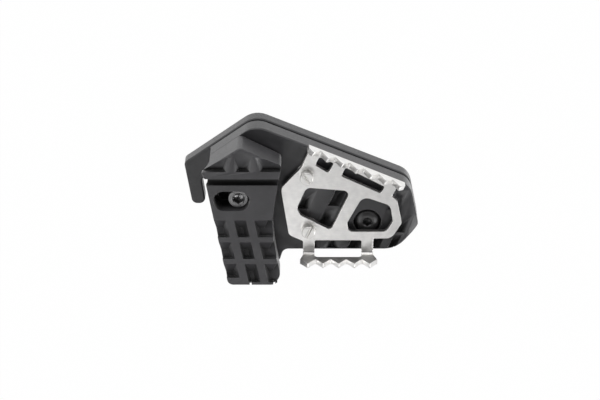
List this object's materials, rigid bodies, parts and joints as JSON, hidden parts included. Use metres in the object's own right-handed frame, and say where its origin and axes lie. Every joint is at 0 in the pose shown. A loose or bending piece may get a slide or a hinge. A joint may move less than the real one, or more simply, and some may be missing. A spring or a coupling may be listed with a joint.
{
  "type": "brake pedal extension",
  "caption": "Adjustable brake pedal extension: hooked clamping plates with a milled side step and a bent, toothed tread plate.",
  "frame": {"origin": "on the back face of the rear plate, near its middle", "axes": "+Z out of the tread, +X along the plates away from the hook arm, +Y towards the plates' peak"},
  "size_m": [0.1173, 0.0803, 0.036],
  "materials": {
    "black_anodised": "bead-blasted black anodised aluminium",
    "stainless_sheet": "tumbled stainless sheet",
    "black_screw": "black oxide steel",
    "bright_screw": "bright turned steel"
  },
  "bodies": {
    "carrier": {"rear_plate": "black_anodised", "front_body": "black_anodised", "tread_plate": "stainless_sheet", "step_screw": "black_screw", "step_insert": "bright_screw", "clamp_screw": "black_screw", "clamp_spacer": "bright_screw", "clamp_nut": "bright_screw", "tread_screw_upper": "bright_screw", "tread_screw_lower": "bright_screw", "tread_spacer_upper": "bright_screw", "tread_spacer_lower": "bright_screw", "tread_insert_upper": "bright_screw", "tread_insert_lower": "bright_screw", "joining_screw_left": "black_screw", "joining_screw_right": "black_screw", "joining_spacer_left": "bright_screw", "joining_spacer_right": "bright_screw", "joining_insert_left": "bright_screw", "joining_insert_right": "bright_screw"},
    "step": {"step_block": "black_anodised"}
  },
  "joints": [
    {"name": "step_slide", "type": "slide", "parent": "carrier", "child": "step", "axis": [1, 0, 0], "range_m": [0, 0.002]}
  ]
}
